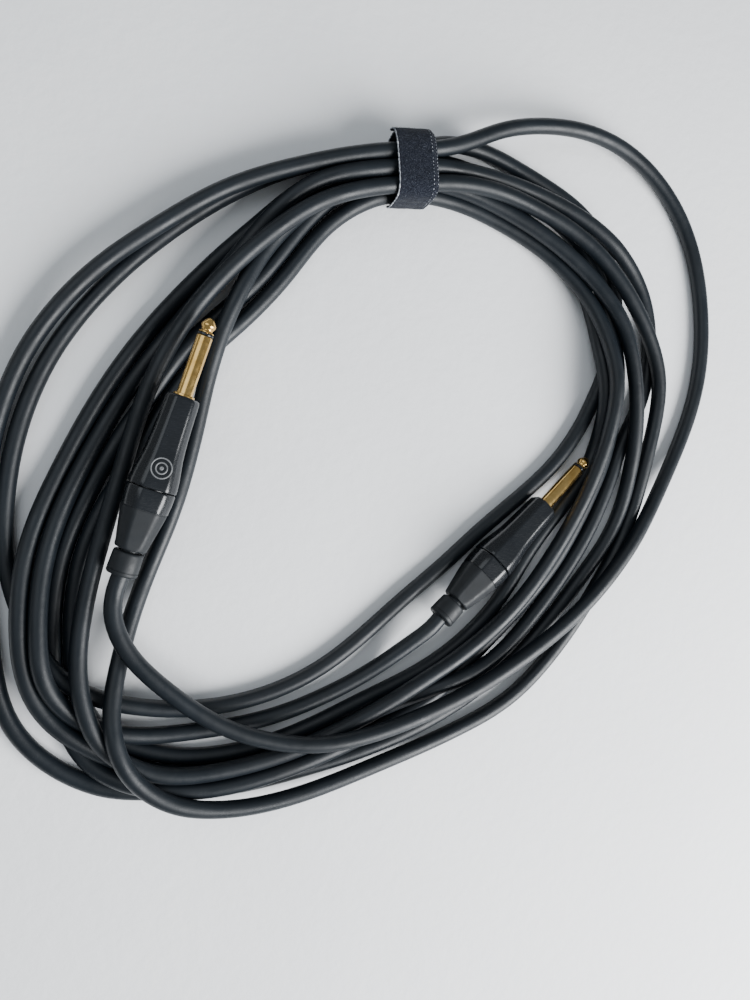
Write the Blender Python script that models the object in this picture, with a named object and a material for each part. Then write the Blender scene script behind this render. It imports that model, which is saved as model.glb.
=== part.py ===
"""Instrument cable: a coiled 7 mm cable with a 6.35 mm mono plug on each end and a hook-and-loop tie.

Metres, +Z up. The coil lies on the plane z = 0 and the origin is the centre of its footprint.
Lengths in the tables below are in millimetres, and MM turns them into metres.
"""
import math

import bmesh
import bpy
from mathutils import Matrix, Vector

MM = 0.001
GAP = 0.3                      # running gap between touching pieces

# The cable
CABLE_D = 7.0
CABLE_R = CABLE_D / 2

# The coil's turns, counter-clockwise. Each turn is a row of radii about COIL_CENTRE at the
# clock positions in STATIONS (degrees from +X), and a row of centreline heights at the same places.
COIL_CENTRE = (-6.0, -4.0)
STATIONS = (90, 105, 120, 135, 150, 165, 180, 195, 205, 215, 225, 235, 245,
            255, 270, 285, 300, 315, 330, 345, 360, 375, 390, 405, 420, 435)
FLOOR_RUN = CABLE_R + 0.3
TURNS = (
    ("outer_left",
     (126.5, 124, 126, 129, 138, 148, 156, 165, 173, 183, 179, 164, 151,
      138, 127, 120, 116, 115, 117, 125, 127, 129, 131, 129, 126, 123),
     (16.5, 14, 11, 11, 11, 9, 6, 4, 4, 4, 4, 4, 4,
      4, 4, 4, 4, 4, 4, 4, 7, 11, 11, 11, 11, 11)),
    ("beside_plug",
     (118, 111, 101, 90, 84, 80, 82, 92, 108, 132, 159, 166, 160.5,
      150, 136, 131, 130, 127, 127, 132, 136, 146, 143, 139, 131, 123),
     (11, 9, 9, 11, 5, 4, 4, 4, 4, 8, 17, 15, 12,
      10, 8, 5, 4, 4, 4, 5, 9, 11, 16, 16, 14, 15)),
    ("top_left",
     (114.5, 109, 102, 99, 99, 101, 106, 119, 134, 152, 163, 160, 145,
      129, 111, 101, 96, 95, 96, 100, 107, 117, 126, 128, 124, 121),
     (16.5, 15, 14, 13, 12, 11, 11, 11, 11, 11, 10, 10, 9,
      9, 9, 9, 9, 8, 7, 8, 10, 11, 7, 4, 4, 5)),
    ("under_plug",
     (114, 101, 87, 82, 85, 92, 103, 127, 142, 156, 163, 155, 140,
      125, 107, 98, 92, 88, 86, 94, 108, 117, 127, 132, 130, 128),
     (5.5,) + (4,) * 19 + (5, 10, 8, 4, 4, 5)),
    ("middle_left",
     (122, 108, 92, 89, 93, 99, 113, 133, 147, 162, 171, 165, 151,
      136, 120, 109, 100, 97.5, 99.5, 104, 112, 120, 127, 142, 139, 136),
     (5.5,) + (4,) * 20 + (8, 10, 5, 4, 5)),
    ("inner_bottom",
     (131.5, 128, 126, 127, 132, 140, 148, 156, 158, 157, 144, 128, 111,
      94, 73, 62, 58.3, 57.3, 61, 71.2, 90, 113, 139, 154, 150, 144.5),
     (5.5,) + (4,) * 24 + (6,)),
    ("left_edge",
     (127, 119, 108, 104, 106, 114, 127, 147, 159, 170, 168, 160, 145,
      129, 111, 106, 107, 105.5, 107, 111.5, 118, 142, 156, 150, 140, 130),
     (11, 6, 4, 4, 4, 4, 4, 8, 10, 9, 5) + (4,) * 10 + (4, 5, 10, 9, 13)),
    ("last_turn",
     (121.5, 117, 106, 101, 103, 109, 120, 140, 153, 163, 159),
     (16.5, 13, 10, 8, 5, 4, 5, 8, 11, 11, 7)),
)
# The inner_bottom turn leaves the bundle between these clock positions.
INNER_RUN = (224, 361.5)

# The tie
TIE_ANGLE = 84.5
TIE_RADIUS = 124.6
TIE_HEADING = 4.0              # the bundle's own direction there, from +X
TIE_LENGTH = 16.5              # width of the strap, along the bundle
TIE_INSIDE = (24.8, 18.2)      # across and up
TIE_THICK = 1.7
TAB_THICK = 1.3
TAB_REACH = 25.0
TIE_BED = TIE_THICK + GAP
TIE_SHOULDERS = (76.5, 90.5)   # clock positions where the bundle has its own shape again

# The route of the loose cable from plug A to the tie, and from the bundle to plug B: x, y, height
TAIL_A = ((-117.6, -67.2, 18), (-114.8, -76.6, 18.5), (-108, -86.6, 18.5), (-97.5, -96.6, 19), (-86, -107, 19),
          (-73, -115, 19), (-58, -121, 18.5), (-38, -125, 18), (-19, -124, 18), (1, -120, 18),
          (20, -114, 17.5), (40, -106, 17), (60, -96, 16), (80, -84, 15), (97.5, -70, 14),
          (112.5, -54.5, 13), (127, -35.5, 11), (140, -16.5, 7.5), (152, 4.5, 5), (160.5, 26.5, 4),
          (164.5, 49, 4), (164, 72.5, 4), (160, 94.5, 4.5), (151, 115.5, 5.5), (137, 131, 7.5),
          (120, 142, 9.5), (103, 147, 11.5), (84, 148, 13.5), (64.5, 145.5, 15), (46, 140.5, 16),
          (35, 134.5, 16.3), (27, 130.4, 16.5))
TAIL_B = ((-103, -119, 5), (-93, -119, 4), (-81, -119, 4), (-55, -116, 4), (-35, -110, 4),
          (-15, -101.5, 5), (0, -91.5, 8))

# The plugs: where the cable enters the collar, heading of the plug, rise towards the tip, and roll
PLUG_POSES = {
    "a": {"tail": (-114.3, -50.5, 17.5), "heading": 70.85, "rise": 3.0, "roll": 7.0},
    "b": {"tail": (20.1, -75.8, 11.2), "heading": 43.0, "rise": -2.0, "roll": -4.0},
}
# Lengths along the plug, from the shell's front face: + towards the tip
TIP_END = 31.5
SLEEVE_FRONT = 24.6
SHELL_FRONT = -0.9
JOINT_LINE = -38.0
NECK_END = -63.0
COLLAR_FRONT = -64.0
COLLAR_END = -73.5
SLEEVE_R = 3.175
FLANGE_R = 4.2
FLATS = (0.90, 0.985)           # how far the four wide flats and the four narrow ones cut in
COLLAR_ROOM = 7.0              # straight cable behind the collar, which backs off 6 mm with the boot
TUBE_STEP = 17.0               # between the points of a cable's tube

SIDES_BIG = 32
SIDES_SMALL = 20

BLACK_RUBBER = ("cable_rubber", (0.022, 0.025, 0.029), 0.42, 0.0)
BLACK_PLASTIC = ("black_plastic", (0.018, 0.02, 0.024), 0.36, 0.0)
GOLD_PLATE = ("gold_plate", (0.83, 0.62, 0.27), 0.2, 1.0)
TINNED_COPPER = ("tinned_copper", (0.72, 0.62, 0.5), 0.35, 1.0)
WHITE_INSULATION = ("white_insulation", (0.85, 0.84, 0.8), 0.45, 0.0)
TIE_FABRIC = ("tie_fabric", (0.03, 0.035, 0.055), 0.95, 0.0)


# ---------------------------------------------------------------- scene helpers

def clear_scene():
    """Remove every object, mesh and curve that the file starts with."""
    for item in list(bpy.data.objects):
        bpy.data.objects.remove(item, do_unlink=True)


def material(spec):
    """Return the named Principled material, made on first use."""
    name, colour, roughness, metallic = spec
    found = bpy.data.materials.get(name)
    if found:
        return found
    made = bpy.data.materials.new(name)
    made.use_nodes = True
    shader = made.node_tree.nodes["Principled BSDF"]
    shader.inputs["Base Color"].default_value = (*colour, 1.0)
    shader.inputs["Roughness"].default_value = roughness
    shader.inputs["Metallic"].default_value = metallic
    made.diffuse_color = (*colour, 1.0)
    return made


def place(obj, spec, parent=None):
    """Put an object in the scene with its material, under its parent."""
    bpy.context.scene.collection.objects.link(obj)
    obj.data.materials.append(material(spec))
    obj.parent = parent
    return obj


def mesh_object(name, vertices, faces, spec, parent=None, smooth_angle=35.0):
    """Make one closed mesh object with its faces pointing out."""
    mesh = bpy.data.meshes.new(name)
    build = bmesh.new()
    corners = [build.verts.new(v) for v in vertices]
    for face in faces:
        build.faces.new([corners[i] for i in face])
    bmesh.ops.recalc_face_normals(build, faces=build.faces)
    build.to_mesh(mesh)
    build.free()
    mesh.shade_smooth()
    mesh.set_sharp_from_angle(angle=math.radians(smooth_angle))
    return place(bpy.data.objects.new(name, mesh), spec, parent)


def bridge(first, second):
    """Quads between two rings of vertex numbers of the same length."""
    count = len(first)
    return [(first[i], first[(i + 1) % count], second[(i + 1) % count], second[i])
            for i in range(count)]


# ---------------------------------------------------------------- turned and moulded shapes

def flat_radius(radius, angle, flats):
    """Radius at an angle of a round section cut by four wide flats and four narrow ones."""
    wide, narrow = flats
    quarter = math.pi / 2
    to_wide = (angle + quarter / 2) % quarter - quarter / 2
    to_narrow = angle % quarter - quarter / 2
    return min(radius, wide * radius / math.cos(to_wide), narrow * radius / math.cos(to_narrow))


def ring(x, radius, sides, flats=None):
    """Points in millimetres on a ring about the X axis."""
    points = []
    for i in range(sides):
        angle = 2 * math.pi * i / sides
        reach = flat_radius(radius, angle, flats) if flats else radius
        points.append(Vector((x, reach * math.cos(angle), reach * math.sin(angle))) * MM)
    return points


def turned(name, rings, spec, parent, sides=SIDES_SMALL):
    """A closed body through rings (x, radius[, flats]). A ring of radius 0 is a point on the axis.

    Rings that never reach the axis close on themselves, which leaves a bore.
    """
    vertices = []
    loops = []
    for entry in rings:
        start = len(vertices)
        if entry[1] == 0:
            vertices.append(Vector((entry[0], 0, 0)) * MM)
            loops.append([start] * sides)
        else:
            vertices.extend(ring(entry[0], entry[1], sides, *entry[2:]))
            loops.append(list(range(start, start + sides)))
    has_bore = rings[0][1] > 0
    pairs = list(zip(loops, loops[1:] + loops[:1])) if has_bore else list(zip(loops, loops[1:]))
    faces = []
    for first, second in pairs:
        for quad in bridge(first, second):
            faces.append(tuple(dict.fromkeys(quad)))
    return mesh_object(name, vertices, faces, spec, parent)


def bent_sheet(name, stations, thickness, spec, parent, steps=14):
    """A strip of sheet rolled about the X axis, open at the top.

    Each station is (x, inner radius, half angle it wraps, measured from straight down).
    """
    vertices = []
    for x, radius, half_angle in stations:
        for reach in (radius, radius + thickness):
            for i in range(steps + 1):
                angle = math.radians(-90 - half_angle + 2 * half_angle * i / steps)
                vertices.append(Vector((x, reach * math.cos(angle), reach * math.sin(angle))) * MM)
    row = steps + 1
    loop = list(range(row)) + list(range(2 * row - 1, row - 1, -1))
    loops = [[2 * row * k + i for i in loop] for k in range(len(stations))]
    faces = []
    for first, second in zip(loops, loops[1:]):
        faces.extend(bridge(first, second))
    for k, loop in ((0, loops[0]), (-1, loops[-1])):
        for i in range(steps):
            faces.append((loop[i], loop[i + 1], loop[-2 - i], loop[-1 - i]))
    return mesh_object(name, vertices, faces, spec, parent)


# ---------------------------------------------------------------- the plug

def plug_frame(key):
    """An empty at the plug's front face, +X towards the tip, set from where its cable goes in."""
    pose = PLUG_POSES[key]
    turn = (Matrix.Rotation(math.radians(pose["heading"]), 4, "Z")
            @ Matrix.Rotation(math.radians(-pose["rise"]), 4, "Y")
            @ Matrix.Rotation(math.radians(pose["roll"]), 4, "X"))
    tail = Vector(pose["tail"]) * MM
    frame = bpy.data.objects.new(f"plug_{key}_frame", None)
    frame.matrix_world = Matrix.Translation(tail) @ turn @ Matrix.Translation((-COLLAR_END * MM, 0, 0))
    bpy.context.scene.collection.objects.link(frame)
    return frame


def make_tip(key, frame):
    """Ball tip, its neck and flare, and the long rod behind it."""
    rings = [(TIP_END, 0), (TIP_END - 0.15, 0.9), (30.7, 1.7), (29.6, 2.45), (28.5, 2.85), (27.7, 2.85),
             (26.9, 2.35), (26.3, 2.05), (25.9, 2.25), (25.5, 3.0), (25.2, 3.05), (25.2, 1.0),
             (-16.5, 1.0), (-16.5, 0)]
    turned(f"plug_{key}_tip", rings, GOLD_PLATE, frame)


def make_tip_insulator(key, frame):
    """Black ring behind the tip, with the tube that lines the sleeve."""
    rings = [(24.9, 3.0), (24.2, 3.0), (24.2, 1.9), (-12.5, 1.9), (-12.5, 1.3), (24.9, 1.3)]
    turned(f"plug_{key}_tip_insulator", rings, BLACK_PLASTIC, frame)


def make_sleeve(key, frame):
    """Gold sleeve with its flange, and the body that screws into the shell."""
    rings = [(23.9, 2.95), (23.6, SLEEVE_R), (0.0, SLEEVE_R), (0.0, FLANGE_R), (-2.5, FLANGE_R),
             (-2.5, 4.6), (-13.0, 4.6), (-13.0, 2.2), (23.9, 2.2)]
    turned(f"plug_{key}_sleeve", rings, GOLD_PLATE, frame, SIDES_BIG)


def make_terminals(key, frame):
    """What the cable is soldered to: insulating washer, tip solder cup and ground lug."""
    washer = [(-13.3, 4.2), (-14.8, 4.2), (-14.8, 1.3), (-13.3, 1.3)]
    turned(f"plug_{key}_rear_insulator", washer, BLACK_PLASTIC, frame)
    cup = [(-15.1, 2.0), (-21.0, 2.0), (-21.0, 1.35), (-15.1, 1.35)]
    turned(f"plug_{key}_tip_solder_cup", cup, TINNED_COPPER, frame, 16)
    lug = [(-13.3, 4.5, 32), (-26.5, 4.5, 38), (-28.5, 4.2, 52), (-30.0, 4.0, 70), (-30.5, 3.9, 95),
           (-31.0, 3.85, 120), (-36.0, 3.85, 120)]
    bent_sheet(f"plug_{key}_ground_lug", lug, 0.5, TINNED_COPPER, frame)


def make_cable_end(key, frame):
    """The stripped end of the cable: jacket, braid, insulation and centre conductor."""
    jacket = [(-28.5, CABLE_R), (COLLAR_END, CABLE_R), (COLLAR_END, 2.75), (-28.5, 2.75)]
    turned(f"plug_{key}_jacket_end", jacket, BLACK_RUBBER, frame)
    braid = [(-25.5, 2.4), (-45.0, 2.4), (-45.0, 1.95), (-25.5, 1.95)]
    turned(f"plug_{key}_shield_braid", braid, TINNED_COPPER, frame, 16)
    insulation = [(-22.0, 1.6), (-45.0, 1.6), (-45.0, 0.8), (-22.0, 0.8)]
    turned(f"plug_{key}_core_insulation", insulation, WHITE_INSULATION, frame, 16)
    core = [(-17.2, 0), (-17.2, 0.45), (-45.0, 0.45), (-45.0, 0)]
    turned(f"plug_{key}_core_conductor", core, TINNED_COPPER, frame, 12)


def make_shell(key, frame):
    """Black shell: a faceted nose that flares to the joint line, bored for the sleeve and boot."""
    rings = [(SHELL_FRONT, 6.0), (-1.7, 6.8, FLATS), (-9.0, 7.18, FLATS), (-16.0, 7.5, FLATS),
             (-24.5, 8.25, FLATS), (-31.0, 9.4, FLATS), (JOINT_LINE + 1.4, 10.1, FLATS),
             (JOINT_LINE, 10.0, FLATS), (JOINT_LINE, 7.4), (-30.4, 7.4), (-30.4, 5.6), (-13.1, 5.6),
             (-13.1, 4.9), (-2.2, 4.9), (-2.2, 4.5), (SHELL_FRONT, 4.5)]
    turned(f"plug_{key}_shell", rings, BLACK_PLASTIC, frame, SIDES_BIG)


def make_boot(key, frame):
    """Boot: a threaded nose inside the shell, a faceted grip, and a taper to the neck."""
    rings = [(-31.0, 7.0), (-38.4, 7.0), (-38.4, 9.9, FLATS), (-46.5, 9.55, FLATS), (-55.0, 8.0, FLATS),
             (NECK_END + 1.0, 6.5, (0.96, 1.0)), (NECK_END, 5.9), (NECK_END, 3.9), (-52.0, 3.9),
             (-49.0, 6.0), (-31.0, 6.0)]
    turned(f"plug_{key}_boot", rings, BLACK_PLASTIC, frame, SIDES_BIG)


def make_grip(key, frame):
    """The split chuck inside the boot, and the collar behind it, which back off with the boot."""
    chuck = [(-37.4, 3.85, 168), (-45.0, 3.85, 168), (-48.0, 3.85, 168)]
    bent_sheet(f"plug_{key}_chuck", chuck, 1.7, BLACK_PLASTIC, frame, 20)
    collar = [(COLLAR_FRONT, 5.3), (COLLAR_FRONT - 0.9, 6.0), (COLLAR_END + 1.2, 6.1), (COLLAR_END, 5.2),
              (COLLAR_END, 3.9), (COLLAR_FRONT, 3.9)]
    turned(f"plug_{key}_collar", collar, BLACK_PLASTIC, frame, SIDES_BIG)


def make_plug(key):
    """All the pieces of one plug, under one frame."""
    frame = plug_frame(key)
    make_tip(key, frame)
    make_tip_insulator(key, frame)
    make_sleeve(key, frame)
    make_terminals(key, frame)
    make_cable_end(key, frame)
    make_shell(key, frame)
    make_boot(key, frame)
    make_grip(key, frame)
    return frame


# ---------------------------------------------------------------- the loose cable

def smooth_path(points, step):
    """Even points along a centripetal Catmull-Rom curve through the route's points, in metres."""
    route = [Vector(p) for p in points]
    route = [2 * route[0] - route[1]] + route + [2 * route[-1] - route[-2]]
    fine = []
    for a, b, c, d in zip(route, route[1:], route[2:], route[3:]):
        knots = [0.0]
        for start, end in ((a, b), (b, c), (c, d)):
            knots.append(knots[-1] + (end - start).length ** 0.5)
        for i in range(24):
            at = knots[1] + (knots[2] - knots[1]) * i / 24
            fine.append(catmull_rom(at, knots, (a, b, c, d)))
    fine.append(route[-2])
    lengths = [0.0]
    for start, end in zip(fine, fine[1:]):
        lengths.append(lengths[-1] + (end - start).length)
    count = max(2, round(lengths[-1] / step))
    even = []
    k = 0
    for i in range(count + 1):
        at = lengths[-1] * i / count
        while k < len(fine) - 2 and lengths[k + 1] < at:
            k += 1
        even.append(fine[k].lerp(fine[k + 1], (at - lengths[k]) / (lengths[k + 1] - lengths[k])) * MM)
    return even


def catmull_rom(at, knots, points):
    """The curve's point at one knot value, by repeated interpolation."""
    first, second, third, fourth = knots
    a = points[0].lerp(points[1], (at - first) / (second - first))
    b = points[1].lerp(points[2], (at - second) / (third - second))
    c = points[2].lerp(points[3], (at - third) / (fourth - third))
    ab = a.lerp(b, (at - first) / (third - first))
    bc = b.lerp(c, (at - second) / (fourth - second))
    return ab.lerp(bc, (at - second) / (third - second))


def lead_out(key, reach):
    """Two points straight behind the plug's collar, so that the collar can slide back over them."""
    pose = PLUG_POSES[key]
    heading, rise = math.radians(pose["heading"]), math.radians(pose["rise"])
    back = -Vector((math.cos(heading) * math.cos(rise), math.sin(heading) * math.cos(rise), math.sin(rise)))
    tail = Vector(pose["tail"])
    return [tail + back * GAP, tail + back * reach]


def turn_points(radii, heights, first, last):
    """Points of one coil turn between two clock positions, in millimetres."""
    points = []
    for angle, radius, height in zip(STATIONS, radii, heights):
        if first <= angle <= last:
            points.append(polar_point(angle, radius, height))
    return points


def polar_point(angle, radius, height):
    """A point about the coil's centre, in millimetres."""
    turn = math.radians(angle)
    return Vector((COIL_CENTRE[0] + radius * math.cos(turn), COIL_CENTRE[1] + radius * math.sin(turn), height))


def cable_tube(name, path):
    """A stretch of cable: a round tube along a path."""
    curve = bpy.data.curves.new(name, "CURVE")
    curve.dimensions = "3D"
    curve.bevel_depth = CABLE_R * MM
    curve.bevel_resolution = 3
    curve.use_fill_caps = True
    spline = curve.splines.new("POLY")
    spline.points.add(len(path) - 1)
    for point, place_at in zip(spline.points, path):
        point.co = (*place_at, 1.0)
    return place(bpy.data.objects.new(name, curve), BLACK_RUBBER)


def make_cable():
    """The stretches of cable that leave the bundle, each one a tube of its own."""
    start_a, bend_a = lead_out("a", COLLAR_ROOM)
    tail_a = [start_a * MM] + smooth_path([bend_a] + [Vector(p) for p in TAIL_A], TUBE_STEP)
    cable_tube("cable_tail_a", tail_a)
    start_b, bend_b = lead_out("b", COLLAR_ROOM)
    tail_b = smooth_path([Vector(p) for p in TAIL_B] + [bend_b], TUBE_STEP) + [start_b * MM]
    cable_tube("cable_tail_b", tail_b)
    cable_tube("cable_inner_run", smooth_path(inner_run_points(), TUBE_STEP))
    return tail_a


def inner_run_points():
    """The one turn that runs apart from the bundle, inside it along the bottom."""
    name, radii, heights = TURNS[5]
    first, last = INNER_RUN
    ends = [polar_point(angle, level_at(STATIONS, radii, angle), FLOOR_RUN) for angle in INNER_RUN]
    return [ends[0]] + turn_points(radii, heights, first + 1, last - 1) + [ends[1]]


# ---------------------------------------------------------------- the coil

COIL_LANES = 13
COIL_SKIN = 3.0                # thickness of the coil's solid in the gaps between its turns
RUN_GAP = 1.6                  # degrees between the bundle and the ends of the turn that leaves it
LAST_TURN_END = 226.5          # where the last turn leaves the bundle for plug B


def level_at(stations, values, at):
    """Straight-line value between stations, held at the ends."""
    if at <= stations[0]:
        return values[0]
    for i in range(1, len(values)):
        if at <= stations[i]:
            part = (at - stations[i - 1]) / (stations[i] - stations[i - 1])
            return values[i - 1] + part * (values[i] - values[i - 1])
    return values[-1]


def strands_at(angle):
    """(radius, height) of every turn that the bundle holds at a clock position."""
    clock = angle if angle >= STATIONS[0] - 5 else angle + 360
    found = []
    for name, radii, heights in TURNS:
        if name == "last_turn" and clock > LAST_TURN_END:
            continue
        if name == "inner_bottom" and INNER_RUN[0] - RUN_GAP < clock < INNER_RUN[1] + RUN_GAP:
            continue
        found.append((level_at(STATIONS, radii, clock), level_at(STATIONS, heights, clock)))
    return found


def plug_outline(key):
    """(point, radius) down a plug's axis, in millimetres: what the coil has to pass under."""
    pose = PLUG_POSES[key]
    outline = ((0.0, 6.1), (9.5, 6.1), (10.5, 6.5), (20.0, 8.5), (27.0, 10.0), (37.0, 10.1), (49.0, 8.0),
               (71.0, 6.9), (73.0, FLANGE_R), (73.6, SLEEVE_R), (105.0, SLEEVE_R))
    heading, rise = math.radians(pose["heading"]), math.radians(pose["rise"])
    along = Vector((math.cos(heading) * math.cos(rise), math.sin(heading) * math.cos(rise), math.sin(rise)))
    stations = [entry[0] for entry in outline]
    radii = [entry[1] for entry in outline]
    return [(Vector(pose["tail"]) + along * step, level_at(stations, radii, step))
            for step in range(0, 106, 2)]


def things_above(tail_a):
    """Everything that lies across the bundle, as points with a radius."""
    tube = [(point / MM, CABLE_R) for point in smooth_path([p / MM for p in tail_a], 3.0)]
    return tube + plug_outline("a") + plug_outline("b")


def headroom(x, y, above):
    """Height of the lowest thing over a place."""
    lowest = 100.0
    for point, radius in above:
        if math.hypot(point.x - x, point.y - y) < radius + 3.0:
            lowest = min(lowest, point.z - radius)
    return lowest - 2 * GAP


def coil_section(angle, above):
    """Inner and outer radius of the bundle at an angle, and its height at each lane."""
    strands = strands_at(angle)
    low = min(radius for radius, height in strands) - CABLE_R
    high = max(radius for radius, height in strands) + CABLE_R
    lanes = []
    for i in range(COIL_LANES):
        radius = low + (high - low) * i / (COIL_LANES - 1)
        near = [height + CABLE_R for at, height in strands if abs(at - radius) < CABLE_R + 2.0]
        place_at = polar_point(angle, radius, 0)
        top = min(max([COIL_SKIN] + near), headroom(place_at.x, place_at.y, above))
        lanes.append((radius, max(top, 1.5)))
    lanes = [(lanes[0][0], 0.0)] + lanes + [(lanes[-1][0], 0.0)]
    return [polar_point(angle, radius, top) * MM for radius, top in lanes]


def tie_section(side):
    """The bundle at one end of the tie: squared up, and lifted by the strap that runs under it."""
    top = TIE_BED + TIE_INSIDE[1] - 2 * GAP
    half = TIE_INSIDE[0] / 2 - GAP
    reach = side * (TIE_LENGTH / 2 + GAP)
    section = [(-half, TIE_BED + GAP)]
    for i in range(COIL_LANES):
        edge = i in (0, COIL_LANES - 1)
        section.append((-half + 2 * half * i / (COIL_LANES - 1), top - 3.0 if edge else top))
    section.append((half, TIE_BED + GAP))
    to_world = tie_matrix()
    return [to_world @ (Vector((reach, across, height)) * MM) for across, height in section]


def make_coil(tail_a):
    """The bundle of turns as one ring: as wide and as high at each angle as the turns there."""
    above = things_above(tail_a)
    near, far = TIE_SHOULDERS
    angles = [7.5 * i for i in range(48) if not near - 2.0 < 7.5 * i < far + 2.0] + [near, far]
    steps = (INNER_RUN[0] - RUN_GAP, INNER_RUN[1] + RUN_GAP - 360, LAST_TURN_END)
    angles += [step + side * 0.05 for step in steps for side in (-1, 1)]
    sections = {angle: coil_section(angle, above) for angle in angles}
    for side in (-1, 1):
        sections[TIE_ANGLE - side * 4.0] = tie_section(side)
    vertices = []
    for angle in sorted(sections):
        vertices.extend(sections[angle])
    row = COIL_LANES + 2
    faces = []
    for k in range(len(sections)):
        here = [k * row + i for i in range(row)]
        there = [((k + 1) % len(sections)) * row + i for i in range(row)]
        faces.extend(bridge(here, there))
    mesh_object("cable_coil", vertices, faces, BLACK_RUBBER)


# ---------------------------------------------------------------- the tie

def tie_matrix():
    """From the tie's own frame, X along the bundle and Y outwards from the coil, to the world."""
    middle = polar_point(TIE_ANGLE, TIE_RADIUS, 0) * MM
    return Matrix.Translation(middle) @ Matrix.Rotation(math.radians(TIE_HEADING), 4, "Z")


def tie_frame():
    """An empty under the middle of the tie."""
    frame = bpy.data.objects.new("tie_frame", None)
    frame.matrix_world = tie_matrix()
    bpy.context.scene.collection.objects.link(frame)
    return frame


def rounded_loop(half_width, low, high, radius, steps=4):
    """Points (y, z) round a rectangle with rounded corners."""
    points = []
    corners = ((half_width, low, -90), (half_width, high, 0), (-half_width, high, 90), (-half_width, low, 180))
    for y, z, start in corners:
        centre_y = y - math.copysign(radius, y)
        centre_z = z + radius if z == low else z - radius
        for i in range(steps + 1):
            angle = math.radians(start + 90 * i / steps)
            points.append((centre_y + radius * math.cos(angle), centre_z + radius * math.sin(angle)))
    return points


def make_tie():
    """The strap round the bundle, thicker where it laps itself, and the end that peels open."""
    frame = tie_frame()
    half = TIE_INSIDE[0] / 2
    top = TIE_BED + TIE_INSIDE[1] + TIE_THICK
    inner = rounded_loop(half, TIE_THICK, top - TIE_THICK, 0.8)
    outer = []
    for y, z in rounded_loop(half + TIE_THICK, 0.0, top, 3.2):
        lapped = y < -half - TIE_THICK + 0.5 and z > 1.0
        outer.append((y - TAB_THICK if lapped else y, z))
    vertices = []
    for x in (-TIE_LENGTH / 2, TIE_LENGTH / 2):
        for loop in (outer, inner):
            vertices.extend(Vector((x, y, z)) * MM for y, z in loop)
    count = len(outer)
    rings = [list(range(k * count, (k + 1) * count)) for k in (0, 1, 3, 2)]
    faces = []
    for first, second in zip(rings, rings[1:] + rings[:1]):
        faces.extend(bridge(first, second))
    mesh_object("tie_strap", vertices, faces, TIE_FABRIC, frame)
    hinge = bpy.data.objects.new("tie_hinge", None)
    hinge.location = Vector((0, -half - TIE_THICK + 0.5, top + GAP + TAB_THICK / 2)) * MM
    hinge.parent = frame
    bpy.context.scene.collection.objects.link(hinge)
    make_tab(hinge)


def make_tab(hinge):
    """The strap's loose end: a flat tongue with a rounded tip, hinged where the lap begins."""
    half = TIE_LENGTH / 2
    outline = [(-half, 0.0), (half, 0.0)]
    steps = 8
    for i in range(steps + 1):
        angle = math.pi * i / steps
        outline.append((half * math.cos(angle), TAB_REACH - 5.0 + 5.0 * math.sin(angle)))
    vertices = []
    for z in (-TAB_THICK / 2, TAB_THICK / 2):
        vertices.extend(Vector((x, y, z)) * MM for x, y in outline)
    count = len(outline)
    under = list(range(count))
    over = list(range(count, 2 * count))
    faces = bridge(under, over) + [tuple(under), tuple(over)]
    mesh_object("tie_end_tab", vertices, faces, TIE_FABRIC, hinge)


def main():
    clear_scene()
    for key in PLUG_POSES:
        make_plug(key)
    tail_a = make_cable()
    make_coil(tail_a)
    make_tie()


main()
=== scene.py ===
"""Looks of the coiled instrument cable: the cable itself, its two plugs and its tie.

Lengths in the tables are in millimetres, and MM turns them into metres.
"""
import math
import random

import bmesh
import bpy
import numpy as np
from mathutils import Matrix, Vector


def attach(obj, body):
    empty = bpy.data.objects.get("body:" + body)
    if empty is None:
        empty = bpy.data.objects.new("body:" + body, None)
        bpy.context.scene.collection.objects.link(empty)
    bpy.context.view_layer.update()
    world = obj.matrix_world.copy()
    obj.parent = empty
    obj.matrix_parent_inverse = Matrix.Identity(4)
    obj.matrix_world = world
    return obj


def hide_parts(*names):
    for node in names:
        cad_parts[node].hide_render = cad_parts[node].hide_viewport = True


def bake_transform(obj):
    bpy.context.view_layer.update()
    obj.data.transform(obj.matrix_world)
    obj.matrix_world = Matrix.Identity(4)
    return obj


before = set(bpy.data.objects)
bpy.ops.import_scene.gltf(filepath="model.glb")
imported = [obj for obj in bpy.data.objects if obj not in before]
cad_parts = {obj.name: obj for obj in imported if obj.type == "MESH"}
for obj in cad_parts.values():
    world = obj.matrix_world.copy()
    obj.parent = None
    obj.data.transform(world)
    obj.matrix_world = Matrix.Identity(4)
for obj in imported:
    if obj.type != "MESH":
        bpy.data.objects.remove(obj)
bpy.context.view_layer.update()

MM = 0.001
ROOT = "cable_and_plugs"

# The cable
CABLE_D = 7.0
CABLE_R = CABLE_D / 2
CURVE_STEPS = 16               # points worked out from one of the route's points to the next
ROUTE_STEP = 3.0               # between the points of the cable's centreline
PLUG_START = 0.3               # where it starts, behind a plug's collar
PLUG_ROOM = 7.0                # and how far behind the collar it runs straight

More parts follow.
